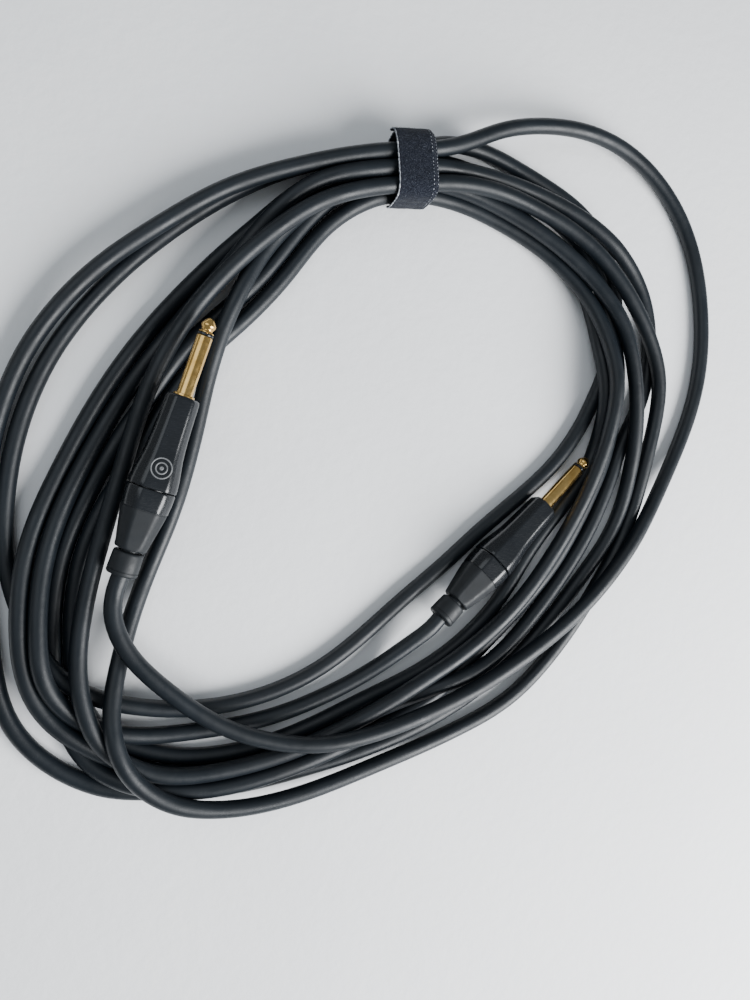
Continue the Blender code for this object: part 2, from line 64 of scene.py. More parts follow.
# How the cable settles
ROUNDS = 300
PUSHES = 4                     # in each round
PUSH_SHARE = 1.3               # of the move that would just part two strands
ROUTE_BLUR = 4                 # widths of the smoothing along the cable, in points
DRIFT_BLUR = 3
LAST_BLUR = 2
KEEP_DRIFT = np.array((0.96, 0.96, 0.99))   # share of a push that lasts from round to round
SAG = 0.05                     # what the cable sinks in a round
WATCH_REACH = 11.0             # strands nearer than this are watched
WATCH_APART = 12               # points along the cable before it counts as another strand
WATCH_EVERY = 6                # rounds
CROSSING_WIDTH = 6.0           # strands nearer than this, seen from above, are crossing
CROSSING_LIFT = 3.0            # and are treated as this much further apart in height
STRAND_GAP = 0.25
PLUG_GAP = 0.2
FLOOR_GAP = 0.1
TIE_GAP = 0.3
LOOSEN_OVER = 25.0             # past its held ends the cable becomes free over this length
OWN_END = 60.0                 # a plug's own end of the cable, which may touch that plug

# The coil's turns, counter-clockwise. Each turn is a row of radii about COIL_CENTRE at the
# clock positions in STATIONS (degrees from +X), and a row of centreline heights at the same places.
COIL_CENTRE = (-6.0, -4.0)
STATIONS = (90, 105, 120, 135, 150, 165, 180, 195, 205, 215, 225, 235, 245,
            255, 270, 285, 300, 315, 330, 345, 360, 375, 390, 405, 420, 435)
TURNS = (
    ("outer_left",
     (126.5, 124, 126, 129, 138, 148, 156, 165, 173, 183, 179, 164, 151,
      138, 127, 120, 116, 115, 117, 125, 127, 129, 131, 129, 126, 123),
     (16.5, 14, 11, 11, 11, 9, 6, 4, 4, 4, 4, 4, 4,
      4, 4, 4, 4, 4, 4, 4, 7, 11, 11, 11, 11, 11)),
    ("beside_plug",
     (118, 111, 101, 90, 84, 80, 82, 92, 108, 132, 159, 166, 160.5,
      150, 136, 131, 130, 127, 127, 132, 136, 146, 143, 139, 131, 123),
     (11, 9, 9, 11, 5, 4, 4, 4, 4, 8, 17, 15, 12,
      10, 8, 5, 4, 4, 4, 5, 9, 11, 16, 16, 14, 15)),
    ("top_left",
     (114.5, 109, 102, 99, 99, 101, 106, 119, 134, 152, 163, 160, 145,
      129, 111, 101, 96, 95, 96, 100, 107, 117, 126, 128, 124, 121),
     (16.5, 15, 14, 13, 12, 11, 11, 11, 11, 11, 10, 10, 9,
      9, 9, 9, 9, 8, 7, 8, 10, 11, 7, 4, 4, 5)),
    ("under_plug",
     (114, 101, 87, 82, 85, 92, 103, 127, 142, 156, 163, 155, 140,
      125, 107, 98, 92, 88, 86, 94, 108, 117, 127, 132, 130, 128),
     (5.5,) + (4,) * 19 + (5, 10, 8, 4, 4, 5)),
    ("middle_left",
     (122, 108, 92, 89, 93, 99, 113, 133, 147, 162, 171, 165, 151,
      136, 120, 109, 100, 97.5, 99.5, 104, 112, 120, 127, 142, 139, 136),
     (5.5,) + (4,) * 20 + (8, 10, 5, 4, 5)),
    ("inner_bottom",
     (131.5, 128, 126, 127, 132, 140, 148, 156, 158, 157, 144, 128, 111,
      94, 73, 62, 58.3, 57.3, 61, 71.2, 90, 113, 139, 154, 150, 144.5),
     (5.5,) + (4,) * 24 + (6,)),
    ("left_edge",
     (127, 119, 108, 104, 106, 114, 127, 147, 159, 170, 168, 160, 145,
      129, 111, 106, 107, 105.5, 107, 111.5, 118, 142, 156, 150, 140, 130),
     (11, 6, 4, 4, 4, 4, 4, 8, 10, 9, 5) + (4,) * 10 + (4, 5, 10, 9, 13)),
    ("last_turn",
     (121.5, 117, 106, 101, 103, 109, 120, 140, 153, 163, 159),
     (16.5, 13, 10, 8, 5, 4, 5, 8, 11, 11, 7)),
)

# The loose cable from plug A to the tie, and from the bundle to plug B: x, y, height
TAIL_A = ((-117.6, -67.2, 18), (-114.8, -76.6, 18.5), (-108, -86.6, 18.5), (-97.5, -96.6, 19),
          (-86, -107, 19), (-73, -115, 19), (-58, -121, 18.5), (-38, -125, 18),
          (-19, -124, 18), (1, -120, 18), (20, -114, 17.5), (40, -106, 17),
          (60, -96, 16), (80, -84, 15), (97.5, -70, 14), (112.5, -54.5, 13),
          (127, -35.5, 11), (140, -16.5, 7.5), (152, 4.5, 5), (160.5, 26.5, 4),
          (164.5, 49, 4), (164, 72.5, 4), (160, 94.5, 4.5), (151, 115.5, 5.5),
          (137, 131, 7.5), (120, 142, 9.5), (103, 147, 11.5), (84, 148, 13.5),
          (64.5, 145.5, 15), (46, 140.5, 16), (35, 134.5, 16.3), (27, 130.4, 16.5))
TAIL_B = ((-103, -119, 5), (-93, -119, 4), (-81, -119, 4), (-55, -116, 4), (-35, -110, 4),
          (-15, -101.5, 5), (0, -91.5, 8))

# The tie: where it crosses the bundle, and the bundle's own direction there
TIE_ANGLE = 84.5
TIE_RADIUS = 124.6
TIE_HEADING = 4.0
TIE_WIDTH = 16.5
TIE_INSIDE = (24.8, 1.7, 20.2)   # across, bottom and top
TIE_REACH = 24.0               # strands within this distance of its middle go through it
STRAP_THICK = 0.95
LAP_THICK = 0.9
LAP_SHIFT = -0.7               # the outer layer lies a little to the left of the layer under it
LAP_OVER = 40                  # outline points that the outer layer covers past the hinge, over the top
LAP_DOWN = 24                  # and before it, down the inner side
LAYER_GAP = 0.15
OUTLINE_STEP = 0.7             # between the points of the strap's outline
RIM_THREAD = 0.3               # radius of the twisted thread on the strap's edges
STRAP_RIM_LEVEL = 0.6          # how far up each layer's edge that thread lies, as a share of it
LAP_RIM_LEVEL = 0.65
STRAP_STITCHES_IN = 0.5        # from the right-hand edge to the row of stitches
LAP_STITCHES_IN = 1.3
NAP_FIBRES = 420
# Across and up in the tie's frame: the hinge
HINGE_AT = (-13.0, 21.0)

# The plugs: where the cable enters the collar, heading of the plug, rise towards the tip, and roll
PLUG_POSES = {
    "a": {"tail": (-114.3, -50.5, 17.5), "heading": 70.85, "rise": 3.0, "roll": 7.0},
    "b": {"tail": (20.1, -75.8, 11.2), "heading": 43.0, "rise": -2.0, "roll": -4.0},
}
# Distance from a plug's tail along its axis, and its radius there
PLUG_OUTLINE = ((0.0, 6.1), (9.5, 6.1), (10.5, 6.5), (20.0, 8.5), (27.0, 10.0), (37.0, 10.1),
                (49.0, 8.0), (72.0, 6.9), (73.0, 4.2), (73.6, 3.2), (105.0, 3.2))
PLUG_LENGTH = 73.5             # from the collar's end to the shell's front face
# Share of the radius left by the wide and by the narrow flats
SHELL_FLATS = (0.90, 0.985)
BOOT_FLATS = (0.91, 0.985)
NECK_FLATS = ((0.94, 1.0), (0.97, 1.0))
# Along a plug, from the shell's front face
TIP_END = 31.5
EMBLEM_AT = -29.5
BAND_END = -46.6               # back of the boot's glossy band, where its taper starts
THREAD_FRONT = -31.6
THREAD_LENGTH = 6.3
THREAD_PITCH = 1.5
THREAD_ROOT = 6.8              # radius at the bottom of the thread
THREAD_DEPTH = 0.42
EMBLEM_RINGS = ((0.01, 0.8), (1.85, 2.4), (3.6, 4.15))   # inner and outer radii
EMBLEM_LIFT = 0.03             # from the flat to the middle of the print


# ---------------------------------------------------------------- camera, light and floor

def add_camera():
    """The view from above and to the left of the coil's middle."""
    data = bpy.data.cameras.new("camera")
    data.sensor_width = 36.0
    data.sensor_fit = "HORIZONTAL"
    data.lens = 36.05
    camera = bpy.data.objects.new("camera", data)
    right = (0.95725, 0.0, 0.28927)
    up = (0.00885, 0.99953, -0.02929)
    back = (-0.28914, 0.0306, 0.9568)
    turn = Matrix((right, up, back)).transposed().to_4x4()
    camera.matrix_world = Matrix.Translation((-0.104, -0.013, 0.322)) @ turn
    bpy.context.scene.collection.objects.link(camera)
    bpy.context.scene.camera = camera


def add_light(name, place, size, power, colour):
    """A square soft box that faces the coil."""
    data = bpy.data.lights.new(name, "AREA")
    data.size = size
    data.energy = power
    data.color = colour
    light = bpy.data.objects.new(name, data)
    light.location = place
    light.rotation_euler = (Vector((0, 0, 0)) - Vector(place)).to_track_quat("-Z", "Y").to_euler()
    bpy.context.scene.collection.objects.link(light)


def add_surroundings():
    """Pale floor, a bright soft box at the lower right and a weak one behind."""
    add_light("key_light", (0.62, -0.55, 0.55), 0.7, 34.0, (0.98, 0.99, 1.0))
    add_light("fill_light", (-0.6, 0.5, 1.0), 1.0, 5.0, (0.88, 0.94, 1.0))
    world = bpy.data.worlds.new("studio")
    bpy.context.scene.world = world
    world.use_nodes = True
    background = world.node_tree.nodes["Background"]
    background.inputs["Color"].default_value = (0.83, 0.89, 0.93, 1.0)
    background.inputs["Strength"].default_value = 0.34
    add_floor()


def add_floor():
    """A flat floor, eight metres across."""
    half = 4.0
    corners = [(-half, -half, 0), (half, -half, 0), (half, half, 0), (-half, half, 0)]
    mesh = bpy.data.meshes.new("floor")
    mesh.from_pydata(corners, [], [(0, 1, 2, 3)])
    floor = bpy.data.objects.new("floor", mesh)
    bpy.context.scene.collection.objects.link(floor)
    mesh.materials.append(floor_material())


# ---------------------------------------------------------------- materials

class Shading:
    """A material under construction: a Principled shader and short calls that add nodes to it."""

    def __init__(self, name, colour, roughness, metallic=0.0):
        self.material = bpy.data.materials.new(name)
        self.material.use_nodes = True
        self.tree = self.material.node_tree
        self.shader = self.tree.nodes["Principled BSDF"]
        self.set("Base Color", (*colour, 1.0))
        self.set("Roughness", roughness)
        self.set("Metallic", metallic)
        self.material.diffuse_color = (*colour, 1.0)
        self.coordinates = self.tree.nodes.new("ShaderNodeTexCoord").outputs["Object"]

    def set(self, socket, value):
        """Give one of the shader's sockets a plain value."""
        self.shader.inputs[socket].default_value = value

    def link(self, output, socket):
        """Feed one of the shader's sockets from another node."""
        self.tree.links.new(output, self.shader.inputs[socket])

    def stretched(self, scale, turn=(0, 0, 0)):
        """Object coordinates, scaled along each axis."""
        node = self.tree.nodes.new("ShaderNodeMapping")
        node.inputs["Scale"].default_value = scale
        node.inputs["Rotation"].default_value = turn
        self.tree.links.new(self.coordinates, node.inputs["Vector"])
        return node.outputs["Vector"]

    def noise(self, scale, detail=3.0, roughness=0.55, vector=None):
        """Cloudy noise, with about `scale` blobs to the metre."""
        node = self.tree.nodes.new("ShaderNodeTexNoise")
        node.inputs["Scale"].default_value = scale
        node.inputs["Detail"].default_value = detail
        node.inputs["Roughness"].default_value = roughness
        self.tree.links.new(vector or self.coordinates, node.inputs["Vector"])
        return node.outputs["Fac"]

    def ramp(self, value, stops):
        """A colour ramp through (position, colour) stops."""
        node = self.tree.nodes.new("ShaderNodeValToRGB")
        elements = node.color_ramp.elements
        while len(elements) < len(stops):
            elements.new(0.5)
        for element, (position, colour) in zip(elements, stops):
            element.position = position
            element.color = (*colour, 1.0)
        self.tree.links.new(value, node.inputs["Fac"])
        return node.outputs["Color"]

    def span(self, value, low, high, from_low=0.3, from_high=0.7):
        """A value taken from one range to another."""
        node = self.tree.nodes.new("ShaderNodeMapRange")
        limits = {"From Min": from_low, "From Max": from_high, "To Min": low, "To Max": high}
        for socket, number in limits.items():
            node.inputs[socket].default_value = number
        self.tree.links.new(value, node.inputs["Value"])
        return node.outputs["Result"]

    def mix(self, factor, first, second):
        """A colour mixed from two, each a colour or a node's output."""
        node = self.tree.nodes.new("ShaderNodeMix")
        node.data_type = "RGBA"
        for index, value in ((0, factor), (6, first), (7, second)):
            if isinstance(value, tuple):
                node.inputs[index].default_value = (*value, 1.0)
            else:
                self.tree.links.new(value, node.inputs[index])
        return node.outputs[2]

    def sum(self, first, second, share):
        """first + share * second."""
        node = self.tree.nodes.new("ShaderNodeMath")
        node.operation = "MULTIPLY_ADD"
        self.tree.links.new(second, node.inputs[0])
        node.inputs[1].default_value = share
        self.tree.links.new(first, node.inputs[2])
        return node.outputs[0]

    def tint(self, value, low, low_colour, high, high_colour):
        """The base colour, from one to another as the value goes from low to high."""
        self.link(self.ramp(value, ((low, low_colour), (high, high_colour))), "Base Color")

    def bump(self, height, depth_mm):
        """Relief of the given depth in the surface."""
        node = self.tree.nodes.new("ShaderNodeBump")
        node.inputs["Strength"].default_value = 1.0
        node.inputs["Distance"].default_value = depth_mm * MM
        self.tree.links.new(height, node.inputs["Height"])
        self.link(node.outputs["Normal"], "Normal")


def floor_material():
    """Pale matte paper."""
    look = Shading("floor_paper", (0.84, 0.85, 0.86), 0.75)
    look.tint(look.noise(6.0, 4.0), 0.3, (0.82, 0.83, 0.85), 0.7, (0.87, 0.88, 0.89))
    look.bump(look.noise(160.0, 5.0), 0.25)
    return look.material


def cable_material():
    """Satin rubber jacket: blue-black, a little cloudy, with fine dust and rubbed patches."""
    look = Shading("cable_jacket", (0.0065, 0.0095, 0.0135), 0.42)
    cloudy = look.ramp(look.noise(38.0, 4.0),
                       ((0.3, (0.003, 0.0052, 0.0078)), (0.72, (0.0072, 0.0108, 0.0150))))
    dust = look.span(look.noise(1900.0, 2.0, 0.7), 0.0, 1.0, 0.71, 0.78)
    look.link(look.mix(dust, cloudy, (0.05, 0.058, 0.066)), "Base Color")
    look.link(look.span(look.noise(95.0, 5.0, 0.65), 0.36, 0.54), "Roughness")
    look.bump(look.sum(look.noise(2600.0, 2.0), look.noise(240.0, 3.0), 2.5), 0.035)
    look.set("Specular IOR Level", 0.34)
    return look.material


def shell_material():
    """Hard moulded plastic of the plug's shell, semi-gloss with faint hairlines."""
    look = Shading("plug_gloss_plastic", (0.005, 0.0065, 0.0085), 0.24)
    look.tint(look.noise(70.0, 4.0), 0.3, (0.004, 0.0052, 0.007), 0.7, (0.0068, 0.0085, 0.011))
    hairlines = look.noise(420.0, 4.0, 0.7, look.stretched((1.0, 7.0, 7.0), (0, 0, 0.9)))
    look.link(look.span(hairlines, 0.18, 0.32), "Roughness")
    look.bump(look.noise(900.0, 2.0), 0.004)
    return look.material


def matte_material():
    """Softer, matte plastic of the boot's taper and the collar."""
    look = Shading("plug_matte_plastic", (0.008, 0.010, 0.0125), 0.52)
    look.tint(look.noise(110.0, 4.0), 0.3, (0.006, 0.0078, 0.0098), 0.7, (0.0102, 0.0125, 0.0152))
    look.link(look.span(look.noise(300.0, 3.0), 0.44, 0.6), "Roughness")
    look.set("Specular IOR Level", 0.3)
    look.bump(look.noise(3200.0, 2.0), 0.03)
    return look.material


def gold_material():
    """Gold plating with fine turning marks and light handling wear."""
    look = Shading("plug_gold", (0.72, 0.47, 0.16), 0.18, 1.0)
    look.tint(look.noise(140.0, 5.0, 0.6), 0.32, (0.58, 0.35, 0.10), 0.6, (0.76, 0.51, 0.19))
    look.link(look.span(look.noise(480.0, 4.0, 0.7), 0.12, 0.27), "Roughness")
    look.bump(look.noise(900.0, 3.0, 0.7), 0.008)
    return look.material


def emblem_material():
    """Grey pad-printed rings."""
    look = Shading("plug_print", (0.13, 0.135, 0.14), 0.5)
    look.tint(look.noise(700.0, 3.0), 0.35, (0.09, 0.095, 0.10), 0.65, (0.15, 0.155, 0.16))
    return look.material


def copper_material():
    """Tinned copper of the parts inside a plug."""
    look = Shading("tinned_copper_metal", (0.72, 0.62, 0.5), 0.33, 1.0)
    look.tint(look.noise(260.0, 4.0), 0.3, (0.60, 0.50, 0.40), 0.7, (0.78, 0.70, 0.60))
    look.link(look.span(look.noise(620.0, 3.0), 0.25, 0.42), "Roughness")
    look.bump(look.noise(1200.0, 3.0), 0.01)
    return look.material


def insulation_material():
    """Milky plastic round the centre conductor."""
    look = Shading("core_polyethylene", (0.85, 0.84, 0.8), 0.45)
    look.tint(look.noise(150.0, 3.0), 0.3, (0.80, 0.79, 0.74), 0.7, (0.88, 0.87, 0.84))
    look.bump(look.noise(900.0, 3.0), 0.01)
    return look.material


def fabric_material():
    """Napped loop fabric: navy black, with a scatter of painted highlights where fibre ends would catch the
    light.
    """
    look = Shading("tie_loop_fabric", (0.010, 0.012, 0.02), 0.95)
    nap = look.noise(1500.0, 4.0, 0.75)
    base = look.ramp(nap, ((0.32, (0.002, 0.003, 0.006)), (0.55, (0.008, 0.010, 0.017)),
                           (0.72, (0.026, 0.031, 0.042))))
    # Painted highlight: pale specks mixed into the fabric's colour where fibre ends would glint
    painted_glint = look.span(look.noise(3600.0, 2.0, 0.6), 0.0, 1.0, 0.60, 0.72)
    look.link(look.mix(painted_glint, base, (0.12, 0.135, 0.165)), "Base Color")
    look.bump(look.sum(nap, look.noise(320.0, 3.0), 0.8), 0.35)
    look.set("Specular IOR Level", 0.15)
    look.set("Sheen Weight", 0.08)
    look.set("Sheen Roughness", 0.4)
    return look.material


def selvage_material():
    """Pale woven edge of the tie, twisted thread by thread."""
    look = Shading("tie_edge_thread", (0.38, 0.40, 0.43), 0.9)
    look.tint(look.noise(1300.0, 3.0, 0.7), 0.38, (0.05, 0.06, 0.08), 0.6, (0.46, 0.48, 0.51))
    look.bump(look.noise(1800.0, 2.0), 0.2)
    return look.material


# ---------------------------------------------------------------- the cable's route

def polar_point(angle, radius, height):
    """A point about the coil's centre, in millimetres."""
    turn = math.radians(angle)
    x = COIL_CENTRE[0] + radius * math.cos(turn)
    y = COIL_CENTRE[1] + radius * math.sin(turn)
    return Vector((x, y, height))


def plug_axis(key):
    """Unit vector along a plug, towards its tip."""
    pose = PLUG_POSES[key]
    heading = math.radians(pose["heading"])
    rise = math.radians(pose["rise"])
    level = math.cos(rise)
    return Vector((math.cos(heading) * level, math.sin(heading) * level, math.sin(rise)))


def lead_out(key):
    """Two points straight behind a plug's collar, so that the collar can slide back over them."""
    tail = Vector(PLUG_POSES[key]["tail"])
    return [tail - plug_axis(key) * PLUG_START, tail - plug_axis(key) * PLUG_ROOM]


def route_points():
    """The whole cable's listed points, from plug A to plug B, in millimetres."""
    points = lead_out("a") + [Vector(p) for p in TAIL_A]
    for _, radii, heights in TURNS:
        points.extend(polar_point(*entry) for entry in zip(STATIONS, radii, heights))
    return points + [Vector(p) for p in TAIL_B] + lead_out("b")[::-1]


def catmull_rom(at, knots, points):
    """The curve's point at one knot value, by repeated interpolation."""
    first, second, third, fourth = knots
    a = points[0].lerp(points[1], (at - first) / (second - first))
    b = points[1].lerp(points[2], (at - second) / (third - second))
    c = points[2].lerp(points[3], (at - third) / (fourth - third))
    ab = a.lerp(b, (at - first) / (third - first))
    bc = b.lerp(c, (at - second) / (fourth - second))
    return ab.lerp(bc, (at - second) / (third - second))


def smooth_path(points):
    """A centripetal Catmull-Rom curve through the points, as an array."""
    route = [2 * points[0] - points[1]] + points + [2 * points[-1] - points[-2]]
    fine = []
    for a, b, c, d in zip(route, route[1:], route[2:], route[3:]):
        knots = [0.0]
        for start, end in ((a, b), (b, c), (c, d)):
            knots.append(knots[-1] + (end - start).length ** 0.5)
        for i in range(CURVE_STEPS):
            at = knots[1] + (knots[2] - knots[1]) * i / CURVE_STEPS
            fine.append(catmull_rom(at, knots, (a, b, c, d)))
    fine.append(route[-2])
    return np.array(fine, float)


def spaced(path, step):
    """The same path with its points evenly apart."""
    lengths = np.concatenate(([0.0], np.cumsum(np.linalg.norm(np.diff(path, axis=0), axis=1))))
    at = np.linspace(0.0, lengths[-1], round(lengths[-1] / step) + 1)
    return np.stack([np.interp(at, lengths, path[:, k]) for k in range(3)], axis=1)


def blurred(values, spread):
    """Rows smoothed along the path by a bell curve `spread` points wide, the ends held."""
    reach = 3 * spread
    kernel = np.exp(-0.5 * (np.arange(-reach, reach + 1) / spread) ** 2)
    kernel /= kernel.sum()
    padded = np.concatenate([np.repeat(values[:1], reach, 0), values, np.repeat(values[-1:], reach, 0)])
    return np.stack([np.convolve(padded[:, k], kernel, "valid") for k in range(values.shape[1])], axis=1)


def near_pairs(path, reach, apart):
    """Pairs of points closer than reach, and further apart than that along the cable."""
    squares = (path ** 2).sum(1)
    distance = squares[:, None] + squares[None, :] - 2 * path @ path.T
    first, second = np.nonzero(np.triu(distance < reach ** 2, apart))
    return first, second


def push_apart(path, pairs, least):
    """Move pairs of points that are closer than `least` apart: sideways if they lie side by side,
    and one over the other if they cross."""
    first, second = pairs
    between = path[second] - path[first]
    short = np.maximum(least - np.linalg.norm(between, axis=1), 0.0)
    sideways = np.linalg.norm(between[:, :2], axis=1)
    over = np.where(between[:, 2] < -1.0, -1.0, 1.0)
    between[:, 2] += over * CROSSING_LIFT * np.clip((CROSSING_WIDTH - sideways) / 2.0, 0.0, 1.0)
    reach = np.maximum(np.linalg.norm(between, axis=1), 0.01)
    push = between * (0.5 * short / reach)[:, None]
    held = short > 0
    count = np.bincount(first[held], minlength=len(path)) + np.bincount(second[held], minlength=len(path))
    for k in range(3):
        move = np.bincount(second, push[:, k], len(path)) - np.bincount(first, push[:, k], len(path))
        path[:, k] += PUSH_SHARE * move / np.maximum(count, 1)


def plug_solids():
    """(points, radii) down both plugs' axes, that the cable stays clear of."""
    stations = [entry[0] for entry in PLUG_OUTLINE]
    radii = [entry[1] for entry in PLUG_OUTLINE]
    at = np.arange(0.0, PLUG_OUTLINE[-1][0] + 0.1, 2.0)
    solids = {}
    for key in PLUG_POSES:
        axis = np.array(plug_axis(key))
        tail = np.array(PLUG_POSES[key]["tail"])
        solids[key] = (tail + at[:, None] * axis, np.interp(at, stations, radii) + CABLE_R + PLUG_GAP)
    return solids


def clear_plugs(path, solids, own):
    """Move the cable out of the plugs, except each plug's own end of it."""
    for key, (centres, reaches) in solids.items():
        between = path[:, None, :] - centres[None, :, :]
        distance = np.linalg.norm(between, axis=2)
        depth = reaches[None, :] - distance
        depth[own[key]] = -1.0
        worst = depth.argmax(axis=1)
        rows = np.arange(len(path))
        inside = depth[rows, worst] > 0
        pick = (rows[inside], worst[inside])
        path[inside] += between[pick] / distance[pick][:, None] * depth[pick][:, None]


def hold_in_tie(path, middle, along, across):
    """Keep every pass of the cable inside the tie."""
    offset = path[:, :2] - middle
    inside = (np.abs(offset @ along) < TIE_WIDTH / 2 + 1.0) & (np.abs(offset @ across) < TIE_REACH)
    room = TIE_INSIDE[0] / 2 - CABLE_R - TIE_GAP
    across_at = (offset @ across)[inside]
    path[inside, :2] += np.outer(np.clip(across_at, -room, room) - across_at, across)
    lowest = TIE_INSIDE[1] + CABLE_R + TIE_GAP
    highest = TIE_INSIDE[2] - CABLE_R - TIE_GAP
    path[inside, 2] = np.clip(path[inside, 2], lowest, highest)


def settled(path):
    """Let the cable settle: turns a diameter apart, nothing below the floor or in a plug."""
    count = len(path)
    from_end = np.minimum(np.arange(count), np.arange(count)[::-1]) * ROUTE_STEP
    free = np.clip((from_end - PLUG_ROOM) / LOOSEN_OVER, 0.0, 1.0)[:, None]
    once = blurred(path, ROUTE_BLUR)
    wanted = path + (2 * once - blurred(once, ROUTE_BLUR) - path) * free
    own = {"a": np.arange(count) * ROUTE_STEP < OWN_END,
           "b": np.arange(count)[::-1] * ROUTE_STEP < OWN_END}
    solids = plug_solids()
    middle = np.array(polar_point(TIE_ANGLE, TIE_RADIUS, 0))[:2]
    turn = math.radians(TIE_HEADING)
    along = np.array((math.cos(turn), math.sin(turn)))
    across = np.array((-math.sin(turn), math.cos(turn)))
    path = wanted.copy()
    for step in range(ROUNDS):
        if step % WATCH_EVERY == 0:
            pairs = near_pairs(path, WATCH_REACH, WATCH_APART)
        path[:, 2] -= SAG * free[:, 0]
        path = wanted + blurred(path - wanted, DRIFT_BLUR) * free * KEEP_DRIFT
        for _ in range(PUSHES):
            push_apart(path, pairs, CABLE_D + STRAND_GAP)
            clear_plugs(path, solids, own)
            hold_in_tie(path, middle, along, across)
            path[:, 2] = np.maximum(path[:, 2], CABLE_R + FLOOR_GAP)
        path = wanted + (path - wanted) * free
    return wanted + blurred(path - wanted, LAST_BLUR) * free


def add_cable():
    """The whole cable, one line from plug to plug."""
    path = settled(spaced(smooth_path(route_points()), ROUTE_STEP))
    curve = bpy.data.curves.new("cable", "CURVE")
    curve.dimensions = "3D"
    curve.bevel_depth = CABLE_R * MM
    curve.bevel_resolution = 6
    curve.use_fill_caps = True
    spline = curve.splines.new("POLY")
    spline.points.add(len(path) - 1)
    for point, place in zip(spline.points, path):
        point.co = (*(place * MM), 1.0)
    cable = bpy.data.objects.new("cable", curve)
    bpy.context.scene.collection.objects.link(cable)
    curve.materials.append(cable_material())
    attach(cable, ROOT)
    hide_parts("cable_coil", "cable_inner_run", "cable_tail_a", "cable_tail_b")
    length = float(np.linalg.norm(np.diff(path, axis=0), axis=1).sum()) * MM
    return cable, path, length


# ---------------------------------------------------------------- mesh helpers

def new_piece(name, vertices, faces, materials, smooth_angle=32.0):
    """A mesh object made of vertices in metres."""
    mesh = bpy.data.meshes.new(name)
    build = bmesh.new()
    corners = [build.verts.new(v) for v in vertices]
    for face in faces:
        build.faces.new([corners[i] for i in face])
    bmesh.ops.recalc_face_normals(build, faces=build.faces)
    build.to_mesh(mesh)
    build.free()
    mesh.shade_smooth()
    mesh.set_sharp_from_angle(angle=math.radians(smooth_angle))
    for look in materials:
        mesh.materials.append(look)
    piece = bpy.data.objects.new(name, mesh)
    bpy.context.scene.collection.objects.link(piece)
    return piece


def bridge(first, second):
    """Quads between two rings of vertex numbers of the same length."""
    count = len(first)
    after = [(i + 1) % count for i in range(count)]
    return [(first[i], first[j], second[j], second[i]) for i, j in enumerate(after)]


def facet_radius(radius, angle, flats):
    """Radius at an angle of a round section cut by four wide flats and four narrow ones."""
    wide, narrow = flats
    quarter = math.pi / 2
    to_wide = (angle + quarter / 2) % quarter - quarter / 2
    to_narrow = angle % quarter - quarter / 2
    return min(radius, wide * radius / math.cos(to_wide), narrow * radius / math.cos(to_narrow))


def lofted(rings, sides):
    """Vertices in the plug's own frame and faces, through rings (x, radius[, flats])."""
    vertices = []
    loops = []
    for entry in rings:
        start = len(vertices)
        if entry[1] == 0:
            vertices.append(Vector((entry[0], 0, 0)) * MM)
            loops.append([start] * sides)
            continue
        for i in range(sides):
            angle = 2 * math.pi * i / sides
            reach = facet_radius(entry[1], angle, entry[2]) if len(entry) > 2 else entry[1]
            vertices.append(Vector((entry[0], reach * math.cos(angle), reach * math.sin(angle))) * MM)
        loops.append(list(range(start, start + sides)))
    closed = rings[0][1] > 0
    pairs = list(zip(loops, loops[1:] + loops[:1])) if closed else list(zip(loops, loops[1:]))
    faces = []
    for first, second in pairs:
        for quad in bridge(first, second):
            corners = tuple(dict.fromkeys(quad))
            if len(corners) > 2:
                faces.append(corners)
    return vertices, faces


def plug_matrix(key):
    """From a plug's own frame, with X towards the tip, to the world."""
    pose = PLUG_POSES[key]
    turn = (Matrix.Rotation(math.radians(pose["heading"]), 4, "Z")
            @ Matrix.Rotation(math.radians(-pose["rise"]), 4, "Y")
            @ Matrix.Rotation(math.radians(pose["roll"]), 4, "X"))
    tail = Vector(pose["tail"]) * MM
    return Matrix.Translation(tail) @ turn @ Matrix.Translation((PLUG_LENGTH * MM, 0, 0))


def plug_piece(key, part, rings, material, body, sides=64, extra=()):
    """One turned or faceted piece of a plug, in place of its CAD node."""
    vertices, faces = lofted(rings, sides)
    to_world = plug_matrix(key)
    materials = [material, *extra]
    piece = new_piece(f"plug_{key}_{part}_surface", [to_world @ v for v in vertices], faces, materials)
    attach(piece, body)
    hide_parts(f"plug_{key}_{part}")
    return piece


# ---------------------------------------------------------------- the plugs

def pin_rings():
    """Outline of the tip: a blunt cone, a shoulder, a waist and a flared foot."""
    return [(TIP_END, 0), (TIP_END - 0.05, 0.45), (TIP_END - 0.25, 0.95), (31.0, 1.35), (30.5, 1.75),
            (30.0, 2.12), (29.5, 2.45), (29.1, 2.68), (28.8, 2.82), (28.5, 2.9), (28.2, 2.92),
            (27.9, 2.88), (27.6, 2.76), (27.3, 2.58), (27.0, 2.38), (26.7, 2.22), (26.4, 2.13),
            (26.15, 2.13), (25.95, 2.25), (25.8, 2.5), (25.7, 2.82), (25.62, 3.0), (25.45, 3.08),
            (25.25, 3.08), (25.2, 3.0), (25.2, 1.0), (-16.5, 1.0), (-16.5, 0)]


